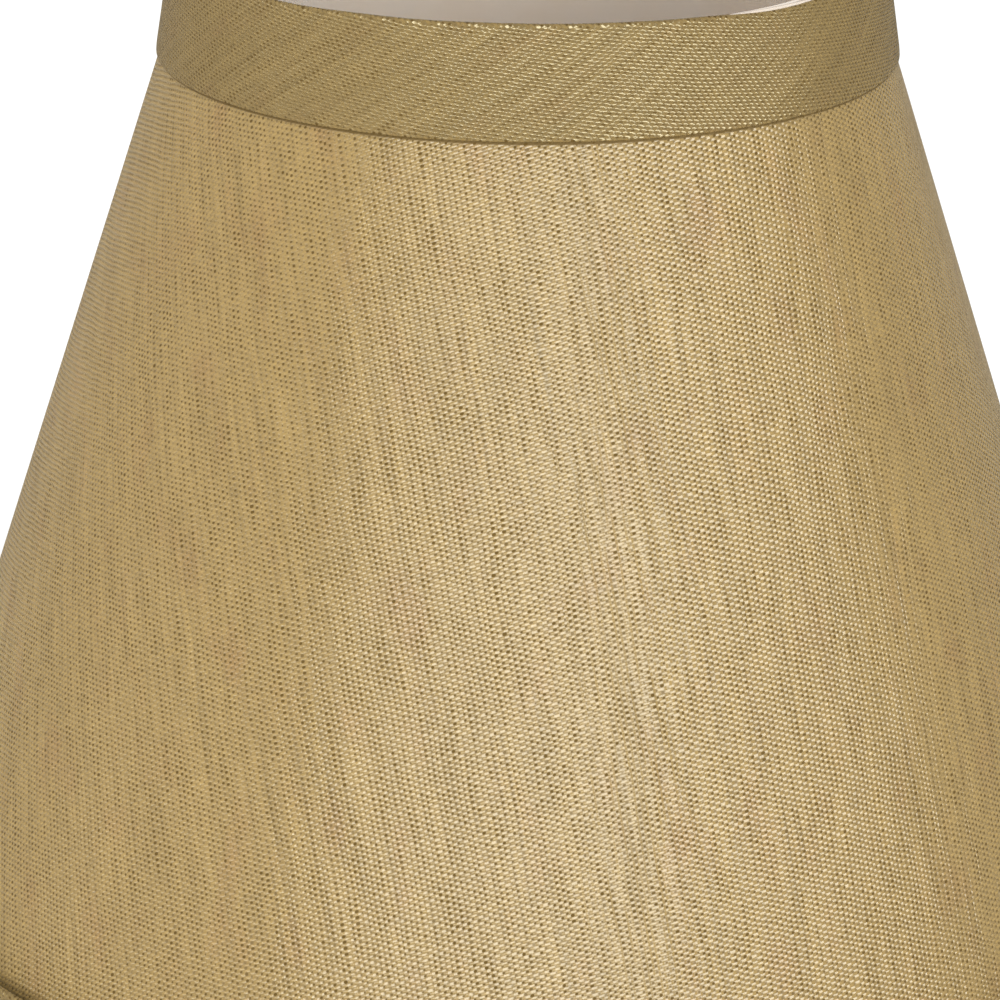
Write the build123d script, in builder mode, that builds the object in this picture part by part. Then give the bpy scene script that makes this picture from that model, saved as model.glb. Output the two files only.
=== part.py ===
from build123d import *
import os
from math import atan, cos, degrees, radians, sin

# A small clip-on lamp shade: a cone of woven cloth laminated to a stiff white liner, held open by a wire
# ring at each end, with a cloth trim round each rim and a sprung wire clip that grips a candle bulb.
# Millimetres, +Z up. The origin is under the middle of the shade, on the surface that it stands on.

# Driving dimensions
height = 114.3            # overall
trim_width = 11.4         # height of the top trim
base_trim_width = 13.4    # and of the bottom trim
neck_radius = 39.3        # outside of the cover, level with the top trim's lower edge
flare = 0.3312            # how much the radius grows for each mm down
cover_thick = 0.35        # woven cloth
liner_thick = 0.45        # stiff plastic sheet
strip_thick = 0.25        # stiff strip inside each trim
cloth_thick = 0.25        # cloth of each trim
stand_off = 2.0           # how far a trim's upper edge stands off the cover
rim_drop = 1.0            # the panel's top edge is this far below the top trim
ring_drop = 0.3           # the top ring is this far below the panel's top edge
ring_wire = 2.0           # diameter of both ring wires
bridge_wire = 1.8         # diameter of the wire that carries the clip
clip_wire = 1.6           # diameter of the clip's loops

# The seam, towards the back
seam_angle = 155          # degrees from +X
seam_gap = 0.15           # hairline between the two ends, in degrees
joggle = 0.6              # angle over which the hidden end steps inward
lap_width = 10            # the hidden end runs this far behind the other
lap_clear = 3.5           # and stops this far short of each ring
trim_lap = 8              # each trim's end laps over its start by this much
trim_tuck = 4.0           # cloth folded down behind the top edge of each trim
trim_return = 5.0         # height of the bottom trim's cloth inside the shade
ring_hug = 0.4            # that cloth stays upright to this far above the bottom ring's middle

# The clip and the wire that carries it
bridge_z = 94.0           # level of the bridge's middle
bridge_knee_z = 98.5      # where its arms turn inward
bridge_rise = 0.6         # its ends are this far above the top ring's middle
knee_bend = 5.0           # radius of its bends below the ring
dip_bend = 12.0           # and of its bends beside the saddle
saddle_length = 10.0      # of the sleeve round the bridge, and of the knuckles
saddle_wall = 0.8
plate_drop = 0.2          # the saddle's plate is this far below the bridge
plate_gap = 0.1           # between the plate's edges and the bars of the loops
plate_corner = 0.6
knuckle_x = 6.8           # hinge lines of the two loops
knuckle_z = 91.2
hinge_play = 0.05         # round a loop's bar in its knuckle
weld_gap = 0.05           # between the bridge's arms and the top ring, filled by the welds
weld_r = 0.65             # radius of each bead
weld_out = 0.6            # the beads sit this far outside the middle of the arm

# Half of one loop, from its bar to its foot: how far out, how far along Y, and how high
loop_points = (
    (knuckle_x, 7.4, knuckle_z),
    (12.8, 9.4, 86.5),
    (14.8, 10.0, 74.0),
    (12.6, 8.8, 60.5),
    (15.8, 6.0, 50.0),
)
loop_bends = (1.6, 5.0, 24.0, 9.0, 5.0)

# Worked out
half_angle = atan(flare)
panel_thick = cover_thick + liner_thick
neck_z = height - trim_width
panel_low = cloth_thick
panel_high = height - rim_drop
ring_r = ring_wire / 2
top_ring_z = panel_high - ring_drop - ring_r
bottom_ring_z = cloth_thick + ring_r

os.makedirs("parts", exist_ok=True)


def cover_radius(z):
    """Outside radius of the cover at height z."""
    return neck_radius + flare * (neck_z - z)


def across(thickness):
    """A thickness of the slanting wall, measured level."""
    return thickness / cos(half_angle)


def ring_radius(z):
    """Centre line of a ring that touches the liner's inside at height z."""
    return cover_radius(z) - across(panel_thick + ring_r)


def section(angle):
    """The upright half plane through the axis at an angle from +X: across is radius, up is height."""
    turn = radians(angle)
    return Plane(origin=(0, 0, 0), x_dir=(cos(turn), sin(turn), 0), z_dir=(sin(turn), -cos(turn), 0))


def wall_outline(depth, thickness, low=panel_low, high=panel_high):
    """One layer of the slanting wall, in the active sketch. depth is from the cover's outside."""
    outer = across(depth)
    inner = across(depth + thickness)
    Polygon(
        (cover_radius(low) - outer, low),
        (cover_radius(high) - outer, high),
        (cover_radius(high) - inner, high),
        (cover_radius(low) - inner, low),
        align=None,
    )


tail_low = bottom_ring_z + ring_r + lap_clear
tail_high = top_ring_z - ring_r - lap_clear
tail_arc = degrees(lap_width / cover_radius(height / 2))

# Woven cloth, glued all over the liner. Its hidden end runs behind the seam.
with BuildPart() as cover_fabric:
    with BuildSketch(section(seam_angle + seam_gap)):
        wall_outline(0, cover_thick)
    revolve(axis=Axis.Z, revolution_arc=360 - seam_gap)
    with BuildSketch(section(seam_angle - joggle)):
        wall_outline(0, panel_thick + cover_thick, tail_low, tail_high)
    revolve(axis=Axis.Z, revolution_arc=joggle)
    with BuildSketch(section(seam_angle)):
        wall_outline(panel_thick, cover_thick, tail_low, tail_high)
    revolve(axis=Axis.Z, revolution_arc=tail_arc)
cover_fabric.part.label = "cover_fabric"
export_step(cover_fabric.part, "parts/cover_fabric.step")

# Stiff white sheet that gives the shade its shape, with the same seam.
with BuildPart() as liner_panel:
    with BuildSketch(section(seam_angle + seam_gap)):
        wall_outline(cover_thick, liner_thick)
    revolve(axis=Axis.Z, revolution_arc=360 - seam_gap - joggle)
    with BuildSketch(section(seam_angle - 2 * joggle)):
        wall_outline(cover_thick, panel_thick + liner_thick, tail_low, tail_high)
    revolve(axis=Axis.Z, revolution_arc=joggle)
    with BuildSketch(section(seam_angle - joggle)):
        wall_outline(panel_thick + cover_thick, liner_thick, tail_low, tail_high)
    revolve(axis=Axis.Z, revolution_arc=joggle + tail_arc)
liner_panel.part.label = "liner_panel"
export_step(liner_panel.part, "parts/liner_panel.step")


def make_ring(name, z):
    """A round wire ring inside the liner."""
    with BuildPart() as ring:
        with BuildSketch(section(seam_angle)):
            with Locations((ring_radius(z), z)):
                Circle(ring_r)
        revolve(axis=Axis.Z)
    ring.part.label = name
    export_step(ring.part, f"parts/{name}.step")
    return ring.part


top_ring = make_ring("top_ring", top_ring_z)
make_ring("bottom_ring", bottom_ring_z)


def strip_radius(base_z, width, rise):
    """Inside of a trim's strip, rise mm above the trim's lower edge. It touches the cover at that edge."""
    return cover_radius(base_z) - (flare - stand_off / width) * rise


def strip_outline(base_z, width, low, high, inner, thickness):
    """One layer of a trim, in the active sketch, from low to high above the trim's lower edge."""
    low_r = strip_radius(base_z, width, low) + inner
    high_r = strip_radius(base_z, width, high) + inner
    Polygon(
        (low_r, base_z + low),
        (low_r + thickness, base_z + low),
        (high_r + thickness, base_z + high),
        (high_r, base_z + high),
        align=None,
    )


def make_strip(name, base_z, width):
    """The stiff strip inside a trim. It stands straighter than the cone, so its upper edge stands off."""
    with BuildPart() as strip:
        with BuildSketch(Plane.XZ):
            strip_outline(base_z, width, cloth_thick, width - cloth_thick, 0, strip_thick)
        revolve(axis=Axis.Z)
    strip.part.label = name
    export_step(strip.part, f"parts/{name}.step")


make_strip("top_trim_strip", neck_z, trim_width)
make_strip("bottom_trim_strip", 0, base_trim_width)


def fold_over_strip(base_z, width):
    """The cloth's outer face, its fold over the strip and the tuck behind, as lines of the active sketch."""
    crest = width - cloth_thick
    tuck = width - trim_tuck
    outside = strip_thick + cloth_thick
    low_r = strip_radius(base_z, width, cloth_thick)
    crest_r = strip_radius(base_z, width, crest)
    tuck_r = strip_radius(base_z, width, tuck)
    Polyline(
        (strip_radius(base_z, width, 0) + outside, base_z),
        (crest_r + outside, base_z + crest),
    )
    ThreePointArc(
        (crest_r + outside, base_z + crest),
        (strip_radius(base_z, width, width) + strip_thick / 2, base_z + width),
        (crest_r - cloth_thick, base_z + crest),
    )
    Polyline(
        (crest_r - cloth_thick, base_z + crest),
        (tuck_r - cloth_thick, base_z + tuck),
        (tuck_r, base_z + tuck),
        (crest_r, base_z + crest),
        (crest_r + strip_thick, base_z + crest),
        (low_r + strip_thick, base_z + cloth_thick),
    )


def lap_outline(base_z, width):
    """The end of a trim's cloth, lapped over its start as a second layer on the outer face."""
    strip_outline(base_z, width, 0, width - 2 * cloth_thick, strip_thick + cloth_thick, cloth_thick)


def lap_arc(base_z):
    """The angle that the lap takes up, in degrees."""
    return degrees(trim_lap / cover_radius(base_z))


# Bias-cut cloth round the top rim, over its strip.
neck_edge_r = strip_radius(neck_z, trim_width, cloth_thick)
with BuildPart() as top_trim:
    with BuildSketch(Plane.XZ):
        with BuildLine():
            fold_over_strip(neck_z, trim_width)
            Polyline(
                (neck_edge_r + strip_thick, neck_z + cloth_thick),
                (neck_edge_r, neck_z + cloth_thick),
                (cover_radius(neck_z), neck_z),
                (cover_radius(neck_z) + strip_thick + cloth_thick, neck_z),
            )
        make_face()
    revolve(axis=Axis.Z)
    with BuildSketch(section(seam_angle)):
        lap_outline(neck_z, trim_width)
    revolve(axis=Axis.Z, revolution_arc=lap_arc(neck_z))
top_trim.part.label = "top_trim"
export_step(top_trim.part, "parts/top_trim.step")

# Bias-cut cloth round the bottom rim. It turns in under the panel and the ring, and the shade stands on it.
ring_side = ring_radius(bottom_ring_z) - ring_r
hug_z = bottom_ring_z + ring_hug
return_outer = cover_radius(trim_return) - across(panel_thick)
with BuildPart() as bottom_trim:
    with BuildSketch(Plane.XZ):
        with BuildLine():
            fold_over_strip(0, base_trim_width)
            Polyline(
                (strip_radius(0, base_trim_width, cloth_thick) + strip_thick, cloth_thick),
                (ring_side, cloth_thick),
                (ring_side, hug_z),
                (return_outer, trim_return),
                (return_outer - cloth_thick, trim_return),
                (ring_side - cloth_thick, hug_z),
                (ring_side - cloth_thick, 0),
                (cover_radius(0) + strip_thick + cloth_thick, 0),
            )
        make_face()
    revolve(axis=Axis.Z)
    with BuildSketch(section(seam_angle)):
        lap_outline(0, base_trim_width)
    revolve(axis=Axis.Z, revolution_arc=lap_arc(0))
bottom_trim.part.label = "bottom_trim"
export_step(bottom_trim.part, "parts/bottom_trim.step")

# One bent wire from side to side of the top ring, dropped in the middle to carry the clip.
bridge_r = bridge_wire / 2
bridge_x = ring_radius(top_ring_z) - ring_r - weld_gap - bridge_r
bridge_top = top_ring_z + bridge_rise
with BuildPart() as clip_bridge:
    with BuildLine(Plane.XZ) as bridge_path:
        FilletPolyline(
            (-bridge_x, bridge_top),
            (-bridge_x, bridge_knee_z),
            (-saddle_length, bridge_z),
            (saddle_length, bridge_z),
            (bridge_x, bridge_knee_z),
            (bridge_x, bridge_top),
            radius=(knee_bend, dip_bend, dip_bend, knee_bend),
        )
    with BuildSketch(Plane(origin=bridge_path.line @ 0, z_dir=bridge_path.line % 0)):
        Circle(bridge_r)
    sweep(path=bridge_path.line)
clip_bridge.part.label = "clip_bridge"
export_step(clip_bridge.part, "parts/clip_bridge.step")

# A bead of weld each side of each arm of the bridge, in the notch between it and the ring.
with BuildPart() as bridge_welds:
    for side in (-1, 1):
        with Locations(
            (side * (bridge_x + weld_out), -bridge_r, top_ring_z),
            (side * (bridge_x + weld_out), bridge_r, top_ring_z),
        ):
            Sphere(weld_r)
    add(top_ring, mode=Mode.SUBTRACT)
    add(clip_bridge.part, mode=Mode.SUBTRACT)
bridge_welds.part.label = "bridge_welds"
export_step(bridge_welds.part, "parts/bridge_welds.step")

# Pressed saddle: a sleeve closed round the bridge, a small plate, and a knuckle each side for a loop.
clip_r = clip_wire / 2
sleeve_r = bridge_r + saddle_wall
knuckle_r = clip_r + hinge_play + saddle_wall
plate_top = bridge_z - bridge_r - plate_drop
plate_bottom = plate_top - saddle_wall
plate_reach = knuckle_x - clip_r - hinge_play - plate_gap
with BuildPart() as clip_saddle:
    with BuildSketch(Plane.YZ.offset(-saddle_length / 2)):
        with Locations((0, bridge_z)):
            Circle(sleeve_r)
    extrude(amount=saddle_length)
    with BuildSketch(Plane.XY.offset(plate_bottom)):
        RectangleRounded(2 * plate_reach, saddle_length, plate_corner)
    extrude(amount=saddle_wall)
    with BuildSketch(Plane.XZ.offset(-saddle_length / 2)):
        with Locations((-knuckle_x, knuckle_z), (knuckle_x, knuckle_z)):
            Circle(knuckle_r)
    extrude(amount=saddle_length)
    with BuildSketch(Plane.XZ.offset(-saddle_length / 2)):
        with Locations((-knuckle_x, knuckle_z), (knuckle_x, knuckle_z)):
            Circle(clip_r + hinge_play)
    extrude(amount=saddle_length, mode=Mode.SUBTRACT)
    with BuildSketch(Plane.YZ.offset(-saddle_length / 2)):
        with Locations((0, bridge_z)):
            Circle(bridge_r)
    extrude(amount=saddle_length, mode=Mode.SUBTRACT)
clip_saddle.part.label = "clip_saddle"
export_step(clip_saddle.part, "parts/clip_saddle.step")


def make_loop(name, side):
    """One closed wire loop. Its straight bar turns in a knuckle, and its legs bow round the bulb."""
    half = [(side * x, y, z) for x, y, z in loop_points]
    other = [(x, -y, z) for x, y, z in reversed(half)]
    with BuildPart() as loop:
        with BuildLine() as path:
            FilletPolyline(*half, *other, radius=(*loop_bends, *reversed(loop_bends)), close=True)
        with BuildSketch(Plane(origin=path.line @ 0, z_dir=path.line % 0)):
            Circle(clip_r)
        sweep(path=path.line)
    loop.part.label = name
    export_step(loop.part, f"parts/{name}.step")


make_loop("clip_loop_right", 1)
make_loop("clip_loop_left", -1)
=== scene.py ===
from math import atan, cos, pi, radians, sin, tan

import bpy
import numpy as np
from mathutils import Matrix, Vector


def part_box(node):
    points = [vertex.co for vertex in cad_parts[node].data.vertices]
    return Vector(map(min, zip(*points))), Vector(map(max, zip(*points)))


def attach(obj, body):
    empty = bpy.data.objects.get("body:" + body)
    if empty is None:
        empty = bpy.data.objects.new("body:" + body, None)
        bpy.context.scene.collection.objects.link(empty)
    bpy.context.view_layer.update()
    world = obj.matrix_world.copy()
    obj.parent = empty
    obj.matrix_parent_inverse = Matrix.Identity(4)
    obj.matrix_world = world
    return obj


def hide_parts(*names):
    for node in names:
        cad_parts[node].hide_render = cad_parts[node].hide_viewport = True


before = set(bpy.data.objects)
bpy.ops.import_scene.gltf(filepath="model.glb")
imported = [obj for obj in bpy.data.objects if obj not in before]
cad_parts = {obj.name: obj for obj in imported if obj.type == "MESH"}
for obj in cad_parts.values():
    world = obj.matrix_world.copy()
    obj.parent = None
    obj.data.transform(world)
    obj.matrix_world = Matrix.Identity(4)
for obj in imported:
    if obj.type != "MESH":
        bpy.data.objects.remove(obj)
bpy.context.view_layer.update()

# A small clip-on lamp shade. The cone and both trims are made here as cloth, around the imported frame.
# Lengths are in metres. Angles round the shade are in radians from the front (-Y), positive towards +X.
MM = 0.001
SAME_LEVEL = 0.02 * MM


# ---- sizes read from the frame ----

def node_points(node):
    """All vertices of a CAD node."""
    return np.array([v.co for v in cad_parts[node].data.vertices], float)


def radius_at(node, z, pick=max):
    """The widest (or, with pick=min, narrowest) radius of a node at height z."""
    p = node_points(node)
    level = p[np.abs(p[:, 2] - z) < SAME_LEVEL]
    return float(pick(np.hypot(level[:, 0], level[:, 1])))


COVER_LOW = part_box("cover_fabric")[0].z
COVER_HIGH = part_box("cover_fabric")[1].z
COVER_R_LOW = radius_at("cover_fabric", COVER_LOW)
FLARE = (COVER_R_LOW - radius_at("cover_fabric", COVER_HIGH)) / (COVER_HIGH - COVER_LOW)
SIN_HALF = sin(atan(FLARE))
COS_HALF = cos(atan(FLARE))
NECK_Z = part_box("top_trim")[0].z


def wall_radius(z):
    """Outside of the cover at height z."""
    return COVER_R_LOW - FLARE * (z - COVER_LOW)


NECK_R = wall_radius(NECK_Z)

# The seam is towards the back left. The cover starts just past it and comes back round to it.
SEAM = radians(-115)
SEAM_GAP = 0.0026           # in radians
FULL_TURN = 2 * pi

# Cloth
COVER_THICK = 0.33 * MM
TRIM_THICK = 0.25 * MM
TRIM_TUCK = 4.0 * MM        # a trim's cloth reaches this far down behind its strip
TRIM_TURN = 0.9 * MM        # its outer face runs straight down to here
FOLD_ROUND = 0.24 * MM
TRIM_STEP = 0.8 * MM        # the longest straight run in a trim's section
LAP_LENGTH = 8 * MM
LAP_LIFT = 1.04             # how far a trim's end stands off its start, in thicknesses
LAP_RUN_UP = 0.35           # the part of a lap's length over which it lifts
SEAM_STEP = 0.28 * MM       # the wall stands out by this where it laps over itself
SEAM_FADE = 7 * MM          # and settles back over this length
COVER_FLATS = 0.05 * MM

# How far a trim's face, folded edge and hem wander
FACE_WAVE = 0.07 * MM
FACE_STAND_OFF = 0.02 * MM
CREST_WAVE = 0.05 * MM
HEM_WAVE = 0.035 * MM


# ---- small tools ----

def smooth_noise(angle, seed, strength, harmonics=range(2, 9)):
    """A gentle wave round the shade that closes on itself, of about the given size."""
    rng = np.random.default_rng(seed)
    total = np.zeros_like(angle)
    for n in harmonics:
        total += np.cos(n * angle + rng.uniform(0, FULL_TURN)) / n ** 0.5
    return strength * total / 2.0


def bump_at(angle, centre, half_width):
    """A rounded bump of height 1 round an angle."""
    d = (angle - centre + pi) % FULL_TURN - pi
    return np.exp(-(d / half_width) ** 2)


def after_seam(angle, length):
    """1 at the seam's outer end, fading to 0 over a length along the wall."""
    d = (angle - SEAM) % FULL_TURN
    return np.clip(1 - d * NECK_R / length, 0, 1) ** 2


def place(radius, angle, z):
    """Points round the shade's axis."""
    return np.stack([radius * np.sin(angle), -radius * np.cos(angle), z], axis=-1)


def new_object(name, points, faces, uv=None):
    """A smooth mesh object. uv holds one pair of flat-pattern millimetres for each corner of each face."""
    mesh = bpy.data.meshes.new(name)
    mesh.from_pydata([tuple(p) for p in points], [], faces)
    if uv is not None:
        layer = mesh.uv_layers.new(name="flat_mm")
        layer.data.foreach_set("uv", np.asarray(uv, np.float32).ravel())
    mesh.polygons.foreach_set("use_smooth", [True] * len(mesh.polygons))
    mesh.validate()
    obj = bpy.data.objects.new(name, mesh)
    bpy.context.scene.collection.objects.link(obj)
    return obj


def skin(name, points, flat):
    """A strip round the shade, closed in section and capped at its ends.

    points is (around, section, 3), and flat is (around, section + 1, 2).
    """
    around, section = points.shape[:2]
    faces, uv = [], []
    for a in range(around - 1):
        for s in range(section):
            t = (s + 1) % section
            faces.append((a * section + s, (a + 1) * section + s, (a + 1) * section + t, a * section + t))
            uv += [flat[a, s], flat[a + 1, s], flat[a + 1, s + 1], flat[a, s + 1]]
    first = list(range(section))
    last = [(around - 1) * section + s for s in range(section)]
    faces += [tuple(first), tuple(reversed(last))]
    uv += [flat[0, s] for s in range(section)]
    uv += [flat[-1, s] for s in reversed(range(section))]
    return new_object(name, points.reshape(-1, 3), faces, uv)


# ---- shader maths ----

class Term:
    """A number in a node tree. Ordinary arithmetic on Terms makes Math nodes."""

    def __init__(self, tree, socket):
        self.tree = tree
        self.socket = socket

    def math(self, operation, other=None):
        node = self.tree.nodes.new("ShaderNodeMath")
        node.operation = operation
        self.tree.links.new(self.socket, node.inputs[0])
        if isinstance(other, Term):
            self.tree.links.new(other.socket, node.inputs[1])
        elif other is not None:
            node.inputs[1].default_value = other
        return Term(self.tree, node.outputs[0])

    def __add__(self, other):
        return self.math("ADD", other)

    __radd__ = __add__

    def __mul__(self, other):
        return self.math("MULTIPLY", other)

    __rmul__ = __mul__

    def __sub__(self, other):
        return self.math("SUBTRACT", other)

    def __neg__(self):
        return self * -1.0

    def __rsub__(self, other):
        return (-self) + other

    def floor(self):
        return self.math("FLOOR")

    def sin(self):
        return self.math("SINE")

    def cos(self):
        return self.math("COSINE")

    def step(self, low, high):
        """0 below low, 1 above high, and smooth between."""
        node = self.tree.nodes.new("ShaderNodeMapRange")
        node.interpolation_type = "SMOOTHSTEP"
        self.tree.links.new(self.socket, node.inputs["Value"])
        node.inputs["From Min"].default_value = low
        node.inputs["From Max"].default_value = high
        return Term(self.tree, node.outputs["Result"])


class Paint:
    """A new material's node tree, with its Principled shader."""

    def __init__(self, name):
        self.material = bpy.data.materials.new(name)
        self.material.use_nodes = True
        self.tree = self.material.node_tree
        self.shader = self.tree.nodes["Principled BSDF"]

    def set(self, **values):
        """Sets shader sockets: Sheen_Weight=0.2 sets "Sheen Weight". A Term or a socket is linked."""
        for name, value in values.items():
            socket = self.shader.inputs[name.replace("_", " ")]
            if isinstance(value, Term):
                self.tree.links.new(value.socket, socket)
            elif isinstance(value, bpy.types.NodeSocket):
                self.tree.links.new(value, socket)
            else:
                socket.default_value = value

    def flat(self):
        """The two flat-pattern coordinates, in millimetres."""
        uv = self.tree.nodes.new("ShaderNodeUVMap")
        uv.uv_map = "flat_mm"
        split = self.tree.nodes.new("ShaderNodeSeparateXYZ")
        self.tree.links.new(uv.outputs[0], split.inputs[0])
        return Term(self.tree, split.outputs[0]), Term(self.tree, split.outputs[1])

    def vector(self, x, y, z=0.0):
        node = self.tree.nodes.new("ShaderNodeCombineXYZ")
        for slot, value in zip(node.inputs, (x, y, z)):
            if isinstance(value, Term):
                self.tree.links.new(value.socket, slot)
            else:
                slot.default_value = value
        return node.outputs[0]

    def position(self, scale):
        """The piece's own coordinates, times scale."""
        coords = self.tree.nodes.new("ShaderNodeTexCoord")
        node = self.tree.nodes.new("ShaderNodeVectorMath")
        node.operation = "SCALE"
        node.inputs["Scale"].default_value = scale
        self.tree.links.new(coords.outputs["Object"], node.inputs[0])
        return node.outputs[0]

    def noise(self, vector, detail=2.0, roughness=0.5):
        """Noise from 0 to 1, about one lump for each unit of the vector."""
        node = self.tree.nodes.new("ShaderNodeTexNoise")
        node.inputs["Scale"].default_value = 1.0
        node.inputs["Detail"].default_value = detail
        node.inputs["Roughness"].default_value = roughness
        self.tree.links.new(vector, node.inputs["Vector"])
        return Term(self.tree, node.outputs["Fac"])

    def mix(self, factor, low, high):
        """A colour between low and high, each a colour or a socket."""
        node = self.tree.nodes.new("ShaderNodeMix")
        node.data_type = "RGBA"
        slots = [s for s in node.inputs if s.type == "RGBA"]
        self.tree.links.new(factor.socket, node.inputs[0])
        for slot, value in zip(slots, (low, high)):
            if isinstance(value, bpy.types.NodeSocket):
                self.tree.links.new(value, slot)
            else:
                slot.default_value = (*value, 1.0)
        return next(s for s in node.outputs if s.type == "RGBA")

    def scale_colour(self, colour, factor):
        """A colour socket times a number."""
        node = self.tree.nodes.new("ShaderNodeVectorMath")
        node.operation = "SCALE"
        self.tree.links.new(colour, node.inputs[0])
        self.tree.links.new(factor.socket, node.inputs["Scale"])
        return node.outputs[0]

    def bump(self, height_mm):
        """Sets the shader's normal from a height in millimetres."""
        node = self.tree.nodes.new("ShaderNodeBump")
        node.inputs["Strength"].default_value = 1.0
        node.inputs["Distance"].default_value = MM
        self.tree.links.new(height_mm.socket, node.inputs["Height"])
        self.tree.links.new(node.outputs["Normal"], self.shader.inputs["Normal"])


# ---- the cloth ----

TAN = (0.285, 0.190, 0.064)
RUDDY = (0.265, 0.150, 0.055)
# the dimples' dark brown: partly a thick thread's own colour, partly painted shade in the pit
PIT_BROWN_AND_SHADE = (0.090, 0.053, 0.013)
PIT_SHINE = (0.12, 0.09, 0.05)
SHEEN_TINT = (1.0, 0.92, 0.74, 1.0)
THREAD_ROUGH = 0.16

# How far the threads wander from their even places, in threads
DRIFT = 1.6
UNEVEN = 0.7
RIPPLE = 0.9

# How much each kind of variation has in a thread's brightness
TONE_SHARE = 0.32
GLINT_SHARE = 0.36
STREAK_SHARE = 0.34
# the next is painted shade: each fine thread darker towards its edges, in the grooves between threads
EDGE_SHADE = 0.11
BASE_LIGHT = 0.545

# A painted shadow line, where another piece's edge lies on the cloth, is darkest up to the first distance
# from its arc and gone at the second, in millimetres.
EDGE_SHADOW_WIDTHS = (0.24, 0.40)
EDGE_SHADOW_DEPTH = 0.85


def cloth_material(name, thick, fine, shade, arch_slope, roundness, lustre, shine, fuzz, edge_shadow=None):
    """Plain weave on flat-pattern millimetres: lustrous fine threads arching over slubby thick ones.

    thick and fine give each set of threads as its direction, in degrees from the pattern's first axis, and
    its pitch. The fine threads cover the face. A thick thread shows only as a dark dimple where it comes on
    top; the dimple's darkness is partly the thread's own brown and partly painted shade in the pit. shade
    scales the cloth's colour, and below 1 it is painted shade. arch_slope is how steeply a fine thread
    rises over a thick one, and roundness how far its middle stands up. lustre is its refractive index,
    shine the colour of its highlights and fuzz its sheen. The last argument, when given, is the distance
    from the pattern's origin, in millimetres, of an arc where a thin painted shadow lies along another
    piece's edge.
    """
    thick_lean, thick_pitch = thick
    fine_lean, fine_pitch = fine
    paint = Paint(name)
    u, v = paint.flat()

    def thread_axes(lean):
        along = u * cos(radians(lean)) + v * sin(radians(lean))
        across = v * cos(radians(lean)) - u * sin(radians(lean))
        return along, across

    thick_along, thick_across = thread_axes(thick_lean)
    fine_along, fine_across = thread_axes(fine_lean)
    s = thick_across * (1 / thick_pitch)
    t = fine_across * (1 / fine_pitch)
    drift = paint.noise(paint.vector(thick_across * 0.12, thick_along * 0.05), 1.0) - 0.5
    uneven = paint.noise(paint.vector(s * 0.5, thick_along * 0.12), 1.0) - 0.5
    ripple = paint.noise(paint.vector(t * 0.3, fine_along * 0.25, 3.1), 1.0) - 0.5
    s = s + drift * DRIFT + uneven * UNEVEN
    t = t + ripple * RIPPLE
    i = s.floor()
    j = t.floor()
    over = ((i + j) * pi).cos()

    # Each thick thread swells and thins along its length. Each fine thread has its own tone.
    slub = paint.noise(paint.vector(i * 5.37, thick_along * 0.12), 3.0)
    tone = paint.noise(paint.vector(i * 3.71, thick_along * 0.03, 11.0), 1.0)
    glint = paint.noise(paint.vector(j * 4.93, fine_along * 0.35, 5.0), 2.0)

    side = (s - i) * 2.0 - 1.0
    rise = (t - j) * 2.0 - 1.0
    reach = side * side * 2.4 + rise * rise * 1.15 - (slub - 0.5) * 3.0
    chance = paint.noise(paint.vector(i * 2.3, j * 3.1, 51.0), 0.0)
    # Dimples are darkened: partly the thick thread's own brown, partly painted shade in the pit.
    dimple = (1.0 - reach.step(0.1, 1.5)) * (0.5 - over * 0.5).step(0.4, 0.6)
    dimple = dimple * (chance.step(0.25, 0.6) * 0.45 + 0.55)
    # A thin painted shadow along another piece's edge joins the dimples' darkness.
    if edge_shadow is not None:
        away = ((u * u + v * v).math("SQRT") - edge_shadow).math("ABSOLUTE")
        dimple = dimple.math("MAXIMUM", (1.0 - away.step(*EDGE_SHADOW_WIDTHS)) * EDGE_SHADOW_DEPTH)
    arch = (s * pi).sin() * (j * pi).cos() * (tan(arch_slope) * thick_pitch / pi)
    round_top = (1.0 - rise * rise) * (roundness * fine_pitch)
    height = arch + round_top

    blotch = paint.noise(paint.vector(s * 0.12, thick_along * 0.10, 21.0), 3.0)
    streak = paint.noise(paint.vector(s * 0.75, thick_along * 0.08, 41.0), 2.0)
    ground = paint.mix(blotch.step(0.50, 0.85) * 0.6, TAN, RUDDY)
    light = tone * TONE_SHARE + glint * GLINT_SHARE + streak * STREAK_SHARE
    # Painted shade: each fine thread is darker towards its edges, in the grooves between threads, and a
    # shade below 1 darkens the whole cloth.
    light = (light + rise * rise * -EDGE_SHADE + BASE_LIGHT) * shade
    ground = paint.scale_colour(ground, light)
    colour = paint.mix(dimple * 0.95, ground, PIT_BROWN_AND_SHADE)

    paint.set(
        Base_Color=colour,
        Roughness=dimple * 0.5 + THREAD_ROUGH + (1.0 - glint) * 0.12,
        IOR=lustre,
        Sheen_Weight=(1.0 - dimple) * fuzz,
        Sheen_Roughness=0.4,
        Sheen_Tint=SHEEN_TINT,
        Specular_Tint=paint.mix(dimple, shine, PIT_SHINE),
    )
    paint.bump(height)
    return paint.material


def styrene_material(name, colour):
    """Matt white sheet, very slightly mottled by the glue behind it."""
    paint = Paint(name)
    cloud = paint.noise(paint.position(60.0), 3.0)
    grain = paint.noise(paint.position(2600.0), 2.0)
    warm = tuple(c * w for c, w in zip(colour, (0.97, 0.93, 0.88)))
    paint.set(
        Base_Color=paint.mix(cloud.step(0.35, 0.75), colour, warm),
        Roughness=0.55 + grain * 0.12,
        Subsurface_Weight=0.15,
        Subsurface_Radius=(0.002, 0.0016, 0.0012),
        Subsurface_Scale=1.0,
    )
    paint.bump(grain * 0.006)
    return paint.material


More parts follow.
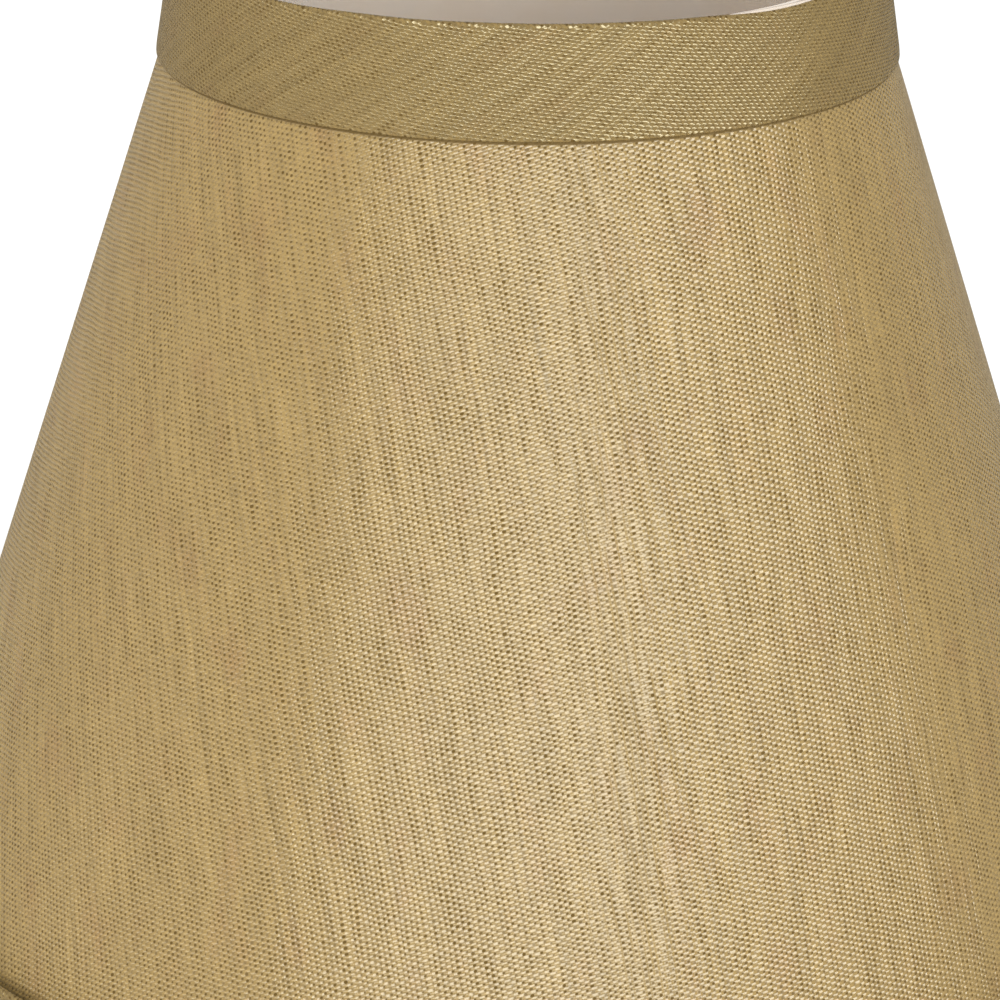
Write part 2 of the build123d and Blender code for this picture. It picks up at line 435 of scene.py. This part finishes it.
def enamel_material(name):
    """White enamelled wire with a few specks where the wire shows."""
    paint = Paint(name)
    speck = paint.noise(paint.position(900.0), 2.0).step(0.70, 0.76)
    cloud = paint.noise(paint.position(120.0), 2.0)
    body = paint.mix(cloud, (0.78, 0.74, 0.66), (0.84, 0.81, 0.75))
    paint.set(
        Base_Color=paint.mix(speck, body, (0.34, 0.28, 0.20)),
        Roughness=0.30 + speck * 0.3,
    )
    paint.bump(paint.noise(paint.position(1500.0), 1.0) * 0.01)
    return paint.material


def brass_material(name):
    """Bright brass plating, drawn along the wire and slightly dulled in patches."""
    paint = Paint(name)
    patch = paint.noise(paint.position(260.0), 4.0, 0.6)
    fine = paint.noise(paint.position(3200.0), 2.0)
    dull = patch.step(0.48, 0.72)
    paint.set(
        Base_Color=paint.mix(dull, (0.83, 0.62, 0.30), (0.60, 0.42, 0.19)),
        Metallic=1.0,
        Roughness=0.20 + dull * 0.22 + fine * 0.06,
    )
    paint.bump(fine * 0.004)
    return paint.material


def weld_material(name):
    """Small dull beads, scaled and slightly blued."""
    paint = Paint(name)
    scale = paint.noise(paint.position(2200.0), 3.0)
    paint.set(
        Base_Color=paint.mix(scale.step(0.4, 0.65), (0.30, 0.25, 0.19), (0.55, 0.47, 0.35)),
        Metallic=0.9,
        Roughness=0.38 + scale * 0.25,
    )
    paint.bump(scale * 0.05)
    return paint.material


# The cover runs along the flat cone pattern, whose first axis points right and second down at the front.
# The cover's painted shadow line lies along the top trim's lower edge, at the neck.
COVER_WEAVE = cloth_material(
    "cover_weave", thick=(79.3, 0.550), fine=(-16.8, 0.294),
    shade=1.0, arch_slope=radians(18), roundness=0.05, lustre=1.87, shine=(1.0, 1.0, 0.95),
    fuzz=0.18, edge_shadow=NECK_R / SIN_HALF / MM,
)
# The trims are cut on the bias and pulled along their length, so their threads cross at a sharper angle.
# The trim's cloth is the cover's weave darkened by its shade of 0.74: painted shade for the dimmer light on
# its more upright face.
TRIM_WEAVE = cloth_material(
    "trim_weave", thick=(35.6, 0.452), fine=(-28.5, 0.248),
    shade=0.74, arch_slope=radians(25), roundness=0.09, lustre=2.35, shine=(1.0, 0.92, 0.66), fuzz=0.07,
)
# The liner is white sheet; its warm tint is painted light, standing in for the warm light that comes through
# the tan cloth.
LINER_WITH_PAINTED_WARM_LIGHT = styrene_material("liner_styrene", (0.83, 0.735, 0.64))
STRIP_WHITE = styrene_material("strip_styrene", (0.53, 0.455, 0.385))
ENAMEL = enamel_material("ring_enamel")
BRASS = brass_material("clip_brass")
WELD = weld_material("weld_metal")

for node, material in {
    "liner_panel": LINER_WITH_PAINTED_WARM_LIGHT,
    "top_trim_strip": STRIP_WHITE,
    "bottom_trim_strip": STRIP_WHITE,
    "top_ring": ENAMEL,
    "bottom_ring": ENAMEL,
    "clip_bridge": BRASS,
    "clip_saddle": BRASS,
    "clip_loop_right": BRASS,
    "clip_loop_left": BRASS,
    "bridge_welds": WELD,
}.items():
    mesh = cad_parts[node].data
    mesh.materials.clear()
    mesh.materials.append(material)


# ---- the cover ----

def cover_swell(angle, z):
    """How far the laminated wall stands off a true cone: slight flats, and the lap up the back."""
    up = (z - COVER_LOW) / (COVER_HIGH - COVER_LOW)
    flats = smooth_noise(angle, 3, COVER_FLATS) * (1 - up) + smooth_noise(angle, 4, COVER_FLATS) * up
    return flats + SEAM_STEP * after_seam(angle, SEAM_FADE)


def cover_flat(angle, radius):
    """Flat-pattern millimetres of a point on the cone: right, and down from the cone's point."""
    slant = radius / SIN_HALF / MM
    turn = angle * SIN_HALF
    return np.stack([slant * np.sin(turn), slant * np.cos(turn)], axis=-1)


def make_cover():
    around = 481
    angle = np.linspace(SEAM + SEAM_GAP, SEAM + FULL_TURN, around)
    up_steps = 84
    outer_z = np.linspace(COVER_LOW, COVER_HIGH, up_steps)
    inner_z = outer_z[::-1]
    z = np.concatenate([outer_z, inner_z])
    inward = np.concatenate([np.zeros(up_steps), np.full(up_steps, COVER_THICK / COS_HALF)])
    grid_angle, grid_z = np.meshgrid(angle, z, indexing="ij")
    true_radius = wall_radius(grid_z)
    radius = true_radius + cover_swell(grid_angle, grid_z) - inward[None, :]
    points = place(radius, grid_angle, grid_z)
    flat = cover_flat(grid_angle, true_radius)
    flat = np.concatenate([flat, flat[:, :1]], axis=1)
    cover = skin("cover_cloth", points, flat)
    cover.data.materials.append(COVER_WEAVE)
    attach(cover, "shade")
    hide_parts("cover_fabric")
    low_slant = COVER_R_LOW / SIN_HALF
    high_slant = wall_radius(COVER_HIGH) / SIN_HALF
    half_turn = pi * SIN_HALF
    low_slant - high_slant * cos(half_turn)
    half_turn * (low_slant ** 2 - high_slant ** 2)


make_cover()


# ---- the trims ----

class TrimShape:
    """Where a trim's stiff strip stands: its lower edge touches the wall and it leans less than the wall."""

    def __init__(self, trim, strip):
        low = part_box(strip)[0].z
        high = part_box(strip)[1].z
        self.base_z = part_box(trim)[0].z
        self.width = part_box(trim)[1].z - self.base_z
        self.inner_low = radius_at(strip, low, min)
        self.inner_high = radius_at(strip, high, min)
        self.lean = (self.inner_low - self.inner_high) / (high - low)
        self.low_rise = low - self.base_z
        self.thick = radius_at(strip, low) - self.inner_low

    def inner(self, rise):
        """Inside of the strip, rise above the trim's lower edge."""
        return self.inner_low - self.lean * (rise - self.low_rise)


def rounded(path, radius, steps=5):
    """A polyline with its inside corners rounded."""
    out = [path[0]]
    for before, at, after in zip(path, path[1:], path[2:]):
        before, at, after = map(np.array, (before, at, after))
        back = (before - at) / np.linalg.norm(before - at)
        on = (after - at) / np.linalg.norm(after - at)
        reach = min(radius, 0.49 * np.linalg.norm(before - at), 0.49 * np.linalg.norm(after - at))
        start, end = at + back * reach, at + on * reach
        for k in range(steps + 1):
            f = k / steps
            out.append((1 - f) ** 2 * start + 2 * f * (1 - f) * at + f ** 2 * end)
    out.append(path[-1])
    return np.array(out, float)


def spaced(path, step):
    """The polyline again, with its long straight runs divided."""
    out = [path[0]]
    for a, b in zip(path, path[1:]):
        pieces = max(1, int(np.ceil(np.linalg.norm(b - a) / step)))
        out += [a + (b - a) * (k + 1) / pieces for k in range(pieces)]
    return np.array(out)


def offset_line(path, distance):
    """The polyline moved sideways, to the left of its direction of travel."""
    tangent = np.gradient(path, axis=0)
    tangent /= np.linalg.norm(tangent, axis=1)[:, None]
    normal = np.stack([-tangent[:, 1], tangent[:, 0]], axis=1)
    return path + normal * distance


def trim_centre_line(shape, under):
    """Middle of the cloth in section, as (radius, rise): behind the strip, over it, down its face, under."""
    half = TRIM_THICK / 2
    crest = shape.width - half
    tuck = shape.width - TRIM_TUCK
    outside = shape.thick + half
    path = [
        (shape.inner(tuck) - half, tuck),
        (shape.inner(crest) - half, crest),
        (shape.inner(crest) + outside, crest),
        (shape.inner(TRIM_TURN) + outside, TRIM_TURN),
    ]
    return rounded(path + under, FOLD_ROUND)


def make_trim(name, node, shape, under, seed, slip):
    """A bias-cut cloth trim: one long strip folded over its stiffener, with its end lapped at the back."""
    half = TRIM_THICK / 2
    centre = spaced(trim_centre_line(shape, under), TRIM_STEP)
    outer = offset_line(centre, half)
    inner = offset_line(centre, -half)
    section = np.concatenate([outer, inner[::-1]])
    along = np.concatenate([[0], np.cumsum(np.linalg.norm(np.diff(centre, axis=0), axis=1))])
    flat_v = np.concatenate([along, along[::-1], along[:1]])

    around = 521
    lap = LAP_LENGTH / shape.inner_low
    angle = np.linspace(SEAM, SEAM + FULL_TURN + lap, around)
    rise = section[:, 1]
    high = np.clip(rise / shape.width, 0, 1)
    past_start = np.clip((angle - SEAM - FULL_TURN) / lap, -1, 1)
    lift = TRIM_THICK * LAP_LIFT * np.clip((past_start + LAP_RUN_UP) / LAP_RUN_UP, 0, 1)
    swell = smooth_noise(angle, seed, FACE_WAVE, range(3, 14)) + FACE_STAND_OFF
    crest_wave = smooth_noise(angle, seed + 1, CREST_WAVE, range(4, 26)) + slip(angle)
    hem_wave = smooth_noise(angle, seed + 2, HEM_WAVE, range(5, 30))
    belly = np.sin(pi * high) ** 0.8
    start_step = SEAM_STEP * after_seam(angle, SEAM_FADE)
    outward = swell[:, None] * belly[None, :] + (lift + start_step)[:, None]
    upright = crest_wave[:, None] * high[None, :] ** 3 + hem_wave[:, None] * (1 - high[None, :]) ** 4
    radius = section[:, 0][None, :] + outward
    z = np.maximum(shape.base_z + rise[None, :] + upright, 0)
    points = place(radius, np.repeat(angle[:, None], len(section), axis=1), z)
    mid_radius = shape.inner(shape.width / 2)
    flat = np.empty((around, len(section) + 1, 2))
    flat[..., 0] = (angle[:, None] * mid_radius) / MM
    flat[..., 1] = -flat_v[None, :] / MM
    trim = skin(name, points, flat)
    trim.data.materials.append(TRIM_WEAVE)
    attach(trim, "shade")
    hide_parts(node)
    mid_radius * FULL_TURN + LAP_LENGTH


SLIP_DEPTH = 0.46 * MM
SLIP_CENTRE = radians(42)
SLIP_HALF_WIDTH = radians(14)


def top_slip(angle):
    """Right of the front the top fold has slipped down a little, so the strip's white edge shows."""
    return -SLIP_DEPTH * bump_at(angle, SLIP_CENTRE, SLIP_HALF_WIDTH)


def no_slip(angle):
    """The bottom fold lies level."""
    return np.zeros_like(angle)


TOP_SHAPE = TrimShape("top_trim", "top_trim_strip")
BOTTOM_SHAPE = TrimShape("bottom_trim", "bottom_trim_strip")

# Where the cloth goes below each strip, as (radius, rise) from the outer face to its free edge.
half_cloth = TRIM_THICK / 2
top_outside = TOP_SHAPE.inner(0) + half_cloth
HEM_SWELL = 0.17 * MM       # the top trim's turned hem stands out by this
HEM_CURL = 0.03 * MM        # and its free edge curls up by this
top_under = [
    (top_outside + HEM_SWELL, half_cloth),
    (top_outside, half_cloth + HEM_CURL),
]
make_trim("top_trim_cloth", "top_trim", TOP_SHAPE, top_under, 11, top_slip)

RETURN_TOP = 5.0 * MM       # the bottom trim's cloth ends this high up the liner's inside
HUG_TOP = 1.7 * MM          # and stays upright against the ring to here
ring_side = float(np.hypot(*node_points("bottom_ring")[:, :2].T).min())
panel_thick = COVER_R_LOW - radius_at("liner_panel", COVER_LOW, min)
liner_inside = wall_radius(RETURN_TOP) - panel_thick
bottom_under = [
    (BOTTOM_SHAPE.inner(0) + BOTTOM_SHAPE.thick + half_cloth, half_cloth),
    (ring_side - half_cloth, half_cloth),
    (ring_side - half_cloth, HUG_TOP),
    (liner_inside - half_cloth, RETURN_TOP),
]
make_trim("bottom_trim_cloth", "bottom_trim", BOTTOM_SHAPE, bottom_under, 23, no_slip)


# ---- floor, light and camera ----

def make_stage():
    """A pale floor, far larger than the shade."""
    size = 6.0
    floor = new_object(
        "floor",
        [(-size, -size, 0), (size, -size, 0), (size, size, 0), (-size, size, 0)],
        [(0, 1, 2, 3)],
    )
    paint = Paint("floor_paint")
    paint.set(Base_Color=(0.95, 0.95, 0.95, 1.0), Roughness=0.8)
    floor.data.materials.append(paint.material)
    floor.visible_glossy = False


LIGHT_DISTANCE = 1.5
COOL_WHITE = (0.98, 1.0, 0.99)
WARM_WHITE = (1.0, 0.99, 0.97)
SURROUND_DIRECT = 1.0
SURROUND_REFLECTED = 0.18   # the surround's strength where a glossy surface mirrors it


def softbox(name, azimuth, elevation, width, height, watts, colour):
    """A rectangular light facing the shade. Angles are in degrees: round from the front, and up."""
    data = bpy.data.lights.new(name, "AREA")
    data.shape = "RECTANGLE"
    data.size = width
    data.size_y = height
    data.energy = watts
    data.color = colour
    lamp = bpy.data.objects.new(name, data)
    azimuth, elevation = radians(azimuth), radians(elevation)
    towards = Vector((sin(azimuth) * cos(elevation), -cos(azimuth) * cos(elevation), sin(elevation)))
    lamp.location = towards * LIGHT_DISTANCE
    lamp.rotation_mode = "QUATERNION"
    lamp.rotation_quaternion = towards.to_track_quat("Z", "Y")
    bpy.context.scene.collection.objects.link(lamp)
    return lamp


def make_lights():
    """A key right of the camera, a low strip left of it, a fill from the left, and a white surround."""
    softbox("key", 22, 14, 1.8, 0.8, 21.0, COOL_WHITE)
    softbox("low", -38, 5, 1.6, 0.2, 3.6, COOL_WHITE)
    fill = softbox("fill", -102, 15, 1.5, 1.5, 17.0, WARM_WHITE)
    fill.visible_glossy = False
    world = bpy.data.worlds.new("surround")
    world.use_nodes = True
    tree = world.node_tree
    rays = tree.nodes.new("ShaderNodeLightPath")
    strength = tree.nodes.new("ShaderNodeMapRange")
    strength.inputs["To Min"].default_value = SURROUND_DIRECT
    strength.inputs["To Max"].default_value = SURROUND_REFLECTED
    tree.links.new(rays.outputs["Is Glossy Ray"], strength.inputs["Value"])
    background = tree.nodes["Background"]
    background.inputs["Color"].default_value = (1.0, 1.0, 1.0, 1.0)
    tree.links.new(strength.outputs["Result"], background.inputs["Strength"])
    bpy.context.scene.world = world


def make_camera():
    """A long lens close to the shade, looking down on it, framed tightly on its top and front."""
    distance = 11.16 * NECK_R
    elevation = radians(20.38)
    aim_drop = 1.3224 * NECK_R
    focal = 3.9209          # in picture widths
    shift = 0.02406         # of the shade to the side, in picture widths
    roll = 0.0082           # in radians
    yaw = atan(shift / focal)
    aim = Vector((0, 0, NECK_Z - aim_drop))
    back = Vector((0, -cos(elevation), sin(elevation)))
    right = Vector((1, 0, 0))
    up = back.cross(right)
    right, up = right * cos(roll) + up * sin(roll), up * cos(roll) - right * sin(roll)
    back, right = back * cos(yaw) + right * sin(yaw), right * cos(yaw) - back * sin(yaw)
    data = bpy.data.cameras.new("camera")
    data.sensor_width = 36
    data.lens = focal * data.sensor_width
    data.clip_start = 0.01
    data.clip_end = 50
    camera = bpy.data.objects.new("camera", data)
    position = aim + Vector((0, -cos(elevation), sin(elevation))) * distance
    axes = Matrix((right, up, back)).transposed().to_4x4()
    camera.matrix_world = Matrix.Translation(position) @ axes
    bpy.context.scene.collection.objects.link(camera)
    bpy.context.scene.camera = camera


make_stage()
make_lights()
make_camera()
bpy.context.scene.view_settings.view_transform = "Standard"
